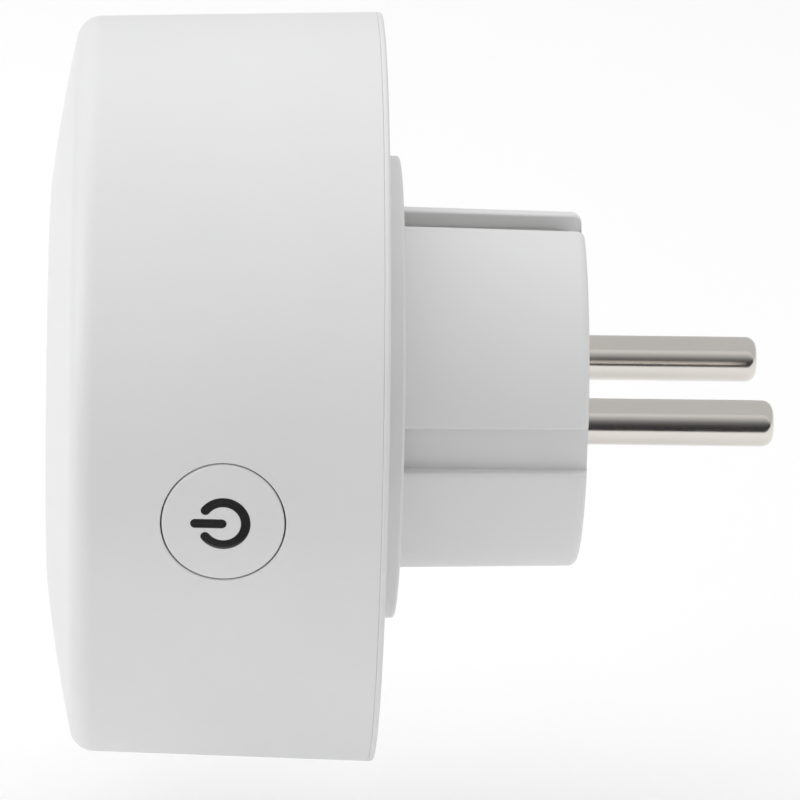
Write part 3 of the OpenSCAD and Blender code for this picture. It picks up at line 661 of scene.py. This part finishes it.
        # the nose: root fillet, tapered side, rounded end
        rows = [(0.0, n.root_radius + 0.45 * MM), (0.05 * MM, n.root_radius + 0.22 * MM),
                (0.2 * MM, n.root_radius + 0.06 * MM), (0.45 * MM, n.root_radius)]
        x = np.concatenate([[0.55 * MM], np.linspace(1.2 * MM, X_NOSE - n.end_round - 0.1 * MM, 14),
                            [X_NOSE - n.end_round]])
        taper = (n.end_radius - n.root_radius) / X_NOSE
        rows += [(station, n.root_radius + taper * station) for station in x]
        end = n.end_radius - n.end_round
        rows += [(X_NOSE - n.end_round + n.end_round * math.sin(a), end + n.end_round * math.cos(a))
                 for a in np.radians(np.linspace(0, 90, 9)[1:])]
        sections = [outline(radius) for _, radius in rows]
        nose = np.stack([np.column_stack([np.full(columns, station), section])
                         for (station, _), section in zip(rows, sections)])
        skin.grid(nose)
        skin.grid(np.stack([lathe(disc[-1:], angles)[0], nose[0]]))
        inside_x = X_NOSE - 2.0 * MM
        opening = rounded([(X_NOSE, n.end_opening + 0.5 * MM, 0), (X_NOSE, n.end_opening, 0.12 * MM),
                           (inside_x, n.end_opening, 0), (inside_x, n.end_opening + 0.2 * MM, 0)])
        skin.grid(np.stack([nose[-1], lathe(opening[:1], angles)[0]]))
        skin.grid(lathe(opening, angles))
        # hollow of the nose, which leaves material behind each groove
        across = np.maximum(abs(np.cos(angles)), abs(np.sin(angles)))
        hollow = np.minimum(n.earth_floor + 0.1 * MM, (n.earth_floor - 2.0 * MM) / across)
        hollow = np.stack([np.column_stack([np.full(columns, station), hollow * np.cos(angles),
                                            hollow * np.sin(angles)])
                           for station in (inside_x, plate_x)])
        skin.grid(np.stack([lathe(opening[-1:], angles)[0], hollow[0]])).grid(hollow)
        skin.grid(np.stack([hollow[-1], plate_grid[-1]]))
        skin.make("rear_cover_skin", "casing", "rear_cover", "white_case", made_finish("white_case"))
        return {"FINISHED"}


class SMARTPLUG_OT_pins(bpy.types.Operator):
    """Turns the two round pins, with their heads and rounded tips"""
    bl_idname = "smart_plug.pins"
    bl_label = "Pins"

    def execute(self, context):
        n = settings("nose")
        head_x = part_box("pin_carrier")[0].x - SKIN_GAP
        shank = n.pin_radius + 0.2 * MM
        head = 3.6 * MM
        profile = rounded([(PIN_ROOT_X, 0, 0), (PIN_ROOT_X, head, 0.12 * MM), (head_x, head, 0.12 * MM),
                           (head_x, shank, 0), (X_NOSE, shank, 0.05 * MM), (X_NOSE, n.pin_radius, 0),
                           (X_TIP, n.pin_radius, n.tip_round), (X_TIP, 0, 0)], 14)
        for name, side in (("live_pin", -1), ("neutral_pin", 1)):
            points = lathe(supported(profile, 3 * MM), whole_turn(96)) + np.array([0, side * PIN_Y, 0])
            Skin().grid(points).make(name + "_skin", "casing", name, "nickel_pin",
                                     made_finish("nickel_pin"))
        return {"FINISHED"}


class SMARTPLUG_OT_button(bpy.types.Operator):
    """Builds the button's cap and the smoked power symbol that is let into it"""
    bl_idname = "smart_plug.button"
    bl_label = "Button"

    def execute(self, context):
        b = settings("button")
        outside = on_wall(0)
        inner_y = on_wall(0)(np.array([[BUTTON_X, 0.0]]))[0] + b.face
        opening, tip = math.radians(38), 0.35 * MM

        def closed(path, half):
            """Outline of a line of the given half width along a path of points: its left side, a
            round end, its right side and a round end, evenly stepped."""
            ahead = np.gradient(path, axis=0)
            ahead /= np.linalg.norm(ahead, axis=1)[:, None]
            across = np.column_stack([-ahead[:, 1], ahead[:, 0]])
            t = np.linspace(0, math.pi, 9)[1:-1, None]
            last = path[-1] + half * (np.cos(t) * across[-1] + np.sin(t) * ahead[-1])
            first = path[0] - half * (np.cos(t) * across[0] + np.sin(t) * ahead[0])
            return np.concatenate([path + half * across, last, (path - half * across)[::-1], first])

        def on_face(outline, sunk):
            """Points of an outline on the wall's surface, sunk into it."""
            spot = outline + [BUTTON_X, 0]
            return np.column_stack([spot[:, 0], outside(spot) + sunk, spot[:, 1]])

        def at_depth(outline, y):
            """Points of an outline at one height."""
            spot = outline + [BUTTON_X, 0]
            return np.column_stack([spot[:, 0], np.full(len(spot), y), spot[:, 1]])

        turn = np.linspace(-math.pi + opening, math.pi - opening, 57)
        ring = b.ring * np.column_stack([np.cos(turn), np.sin(turn)])
        bar = np.column_stack([np.linspace(tip - b.line / 2 - 2.65 * MM, tip - b.line / 2, 17), np.zeros(17)])
        glass = made_finish("smoked_window")
        window = Skin()
        deep, proud = inner_y + 0.07 * MM, 0.04 * MM
        for path in (ring, bar):
            rows = [at_depth(closed(path, b.line / 2), deep), on_face(closed(path, b.line / 2), 0.0)]
            for a in np.radians(np.linspace(0, 90, 5)[1:]):
                half = b.line / 2 - 0.08 * MM * (1 - math.cos(a))
                rows.append(on_face(closed(path, half), -proud * math.sin(a)))
            for share in (0.6, 0.3, 0.0):
                half = max((b.line / 2 - 0.08 * MM) * share, 0.002 * MM)
                rows.append(on_face(closed(path, half), -proud))
            window.grid(np.stack(rows))
        stem = rounded([(deep, 0, 0), (deep, 4.3 * MM, 0.1 * MM), (inner_y + 0.8 * MM, 4.3 * MM, 0.1 * MM),
                        (inner_y + 0.8 * MM, 1.2 * MM, 0.1 * MM),
                        (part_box("button_light_guide")[1].y, 1.2 * MM, 0.1 * MM),
                        (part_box("button_light_guide")[1].y, 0, 0)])
        base = lathe(stem, whole_turn(64))
        window.grid(np.stack([base[..., 1] + BUTTON_X, base[..., 0], base[..., 2]], axis=-1))
        window.make("button_light_guide_skin", "button", "button_light_guide", "smoked_window", glass, 40)
        self.cap(outside, inner_y)
        return {"FINISHED"}

    def cap(self, outside, inner_y):
        """Makes the cap: a disc on the wall's surface with a rounded rim, a skirt and a flange.

        Each row is a circle about the button's axis; its height is the wall's surface at that
        radius, pushed in by the rim's quarter circle, and a plain height further in."""
        b = settings("button")
        turn = whole_turn(180)
        way = np.column_stack([np.cos(turn), np.sin(turn)])
        rim = 0.16 * MM
        rows = []

        def circle(radius, level):
            """A circle at a height, which is a number or a surface pushed in by a number."""
            spot = np.array([BUTTON_X, 0]) + radius * way
            height = outside(spot) + level[0] if isinstance(level, tuple) else np.full(len(spot), level)
            rows.append(np.column_stack([spot[:, 0], height, spot[:, 1]]))

        for radius in np.linspace(0, b.radius - rim - SUPPORT, 24):
            circle(radius, (0.0,))
        for a in np.radians(np.linspace(0, 90, 7)):
            circle(b.radius - rim * (1 - math.sin(a)), (rim * (1 - math.cos(a)),))
        flange = b.radius + 0.85 * MM
        for radius, level in ((b.radius, BUTTON_IN_Y - 0.8 * MM), (flange, BUTTON_IN_Y - 0.8 * MM),
                              (flange, BUTTON_IN_Y), (b.radius - 1.05 * MM, BUTTON_IN_Y),
                              (b.radius - 1.05 * MM, inner_y), (0, inner_y)):
            circle(radius, level)
        Skin().grid(np.stack(rows)).make("button_cap_skin", "button", "button_cap", "white_case",
                                         made_finish("white_case"))


class SMARTPLUG_OT_stage(bpy.types.Operator):
    """Sets the floor, the soft light and the camera"""
    bl_idname = "smart_plug.stage"
    bl_label = "Stage"

    def card(self):
        """A leaning card that glows only in reflections, as a painted reflection: dark at its foot and
        brighter towards its top.
        """
        foot, top = -0.056, 0.9
        near, far, half = -0.13, -0.5, 1.2
        corners = [(-half, near, foot), (half, near, foot), (half, far, top), (-half, far, top)]
        mesh = bpy.data.meshes.new("dark_card")
        mesh.from_pydata(corners, [], [(0, 1, 2, 3)])
        card = bpy.data.objects.new("dark_card", mesh)
        bpy.context.scene.collection.objects.link(card)
        # painted reflection: this material's emission is the only thing the card shows, and only in glossy
        # surfaces
        material, surface = shader("dark_cloth", (0, 0, 0), 1.0)
        nodes, links = material.node_tree.nodes, material.node_tree.links
        place = nodes.new("ShaderNodeTexCoord")
        split = nodes.new("ShaderNodeSeparateXYZ")
        height = nodes.new("ShaderNodeMapRange")
        height.inputs["From Min"].default_value = foot
        height.inputs["From Max"].default_value = top
        ramp = nodes.new("ShaderNodeValToRGB")
        points = ramp.color_ramp.elements
        points[0].position, points[0].color = 0.0, (0.02, 0.02, 0.02, 1)
        points[1].position, points[1].color = 1.0, (0.75, 0.74, 0.73, 1)
        for share, tone in ((0.036, 0.026), (0.075, 0.057), (0.126, 0.178), (0.2, 0.43), (0.39, 0.7)):
            step = points.new(share)
            step.color = (tone, tone, tone, 1)
        links.new(place.outputs["Object"], split.inputs[0])
        links.new(split.outputs["Z"], height.inputs["Value"])
        links.new(height.outputs["Result"], ramp.inputs["Fac"])
        # painted reflection: the emission ramps from near black at the card's foot to light grey at its top
        links.new(ramp.outputs["Color"], surface.inputs["Emission Color"])
        surface.inputs["Emission Strength"].default_value = 1.0
        mesh.materials.append(material)
        card.visible_camera = False
        card.visible_diffuse = False
        card.visible_shadow = False

    def execute(self, context):
        s = settings("stage")
        floor_z, half = -BODY_R - s.floor_drop, 3.0
        mesh = bpy.data.meshes.new("floor")
        mesh.from_pydata([(-half, -half, floor_z), (half, -half, floor_z), (half, half, floor_z),
                          (-half, half, floor_z)], [], [(0, 1, 2, 3)])
        floor = bpy.data.objects.new("floor", mesh)
        bpy.context.scene.collection.objects.link(floor)
        material, surface = shader("floor_card", (0.97, 0.97, 0.97), 0.8)
        vary(material, noise(material, 60), 0.75, 0.85, surface.inputs["Roughness"])
        mesh.materials.append(material)
        self.card()
        world = bpy.data.worlds.new("studio")
        world.use_nodes = True
        sky = world.node_tree.nodes["Background"]
        sky.inputs["Color"].default_value = (1, 1, 1, 1)
        sky.inputs["Strength"].default_value = s.sky
        bpy.context.scene.world = world
        for name, place, size, power in (
                ("overhead", (-0.1, 0.15, 0.9), 1.1, 5.0),
                ("front_card", (-0.9, -0.15, 0.35), 0.7, 2.2)):
            light = bpy.data.lights.new(name, "AREA")
            light.shape = "SQUARE"
            light.size = size
            light.energy = power
            lamp = bpy.data.objects.new(name, light)
            lamp.location = place
            lamp.visible_glossy = name != "overhead"
            lamp.rotation_euler = (-Vector(place)).to_track_quat("-Z", "Y").to_euler()
            bpy.context.scene.collection.objects.link(lamp)
        camera = bpy.data.cameras.new("camera")
        camera.lens = s.lens
        camera.sensor_width = 36.0
        camera.clip_start = 0.01
        eye = bpy.data.objects.new("camera", camera)
        bpy.context.scene.collection.objects.link(eye)
        turn, rise = s.azimuth, s.elevation
        ahead = Vector((math.sin(turn) * math.cos(rise), math.cos(turn) * math.cos(rise), -math.sin(rise)))
        right = Vector((math.cos(turn), -math.sin(turn), 0))
        top = right.cross(ahead)
        side = math.cos(s.roll) * right + math.sin(s.roll) * top
        top = math.cos(s.roll) * top - math.sin(s.roll) * right
        place = -s.distance * ahead + s.across * side + s.upwards * top
        eye.matrix_world = Matrix.Translation(place) @ Matrix((side, top, -ahead)).transposed().to_4x4()
        bpy.context.scene.camera = eye
        bpy.context.scene.view_settings.view_transform = "Standard"
        return {"FINISHED"}


class SMARTPLUG_PT_sidebar(bpy.types.Panel):
    """Lists the steps that build the smart plug"""
    bl_idname = "SMARTPLUG_PT_sidebar"
    bl_label = "Smart Plug"
    bl_space_type = "VIEW_3D"
    bl_region_type = "UI"
    bl_category = "Smart Plug"

    def draw(self, context):
        for step in STEPS:
            self.layout.operator(step.bl_idname)


STEPS = (SMARTPLUG_OT_finishes, SMARTPLUG_OT_front_shell, SMARTPLUG_OT_rear_cover, SMARTPLUG_OT_pins,
         SMARTPLUG_OT_button, SMARTPLUG_OT_stage)
GROUPS = {"casing": SmartPlugCasing, "nose": SmartPlugNose, "button": SmartPlugButton,
          "finish": SmartPlugFinish, "stage": SmartPlugStage}


def register():
    """Registers the settings, the steps and the panel."""
    for name, group in GROUPS.items():
        bpy.utils.register_class(group)
        setattr(bpy.types.Scene, "smart_plug_" + name, bpy.props.PointerProperty(type=group))
    for kind in (*STEPS, SMARTPLUG_PT_sidebar):
        bpy.utils.register_class(kind)


def unregister():
    """Takes back what register did."""
    for kind in (SMARTPLUG_PT_sidebar, *reversed(STEPS)):
        bpy.utils.unregister_class(kind)
    for name, group in reversed(GROUPS.items()):
        delattr(bpy.types.Scene, "smart_plug_" + name)
        bpy.utils.unregister_class(group)


def main():
    """Builds the plug."""
    register()
    for step in STEPS:
        group, name = step.bl_idname.split(".")
        getattr(getattr(bpy.ops, group), name)()


if __name__ == "__main__":
    main()
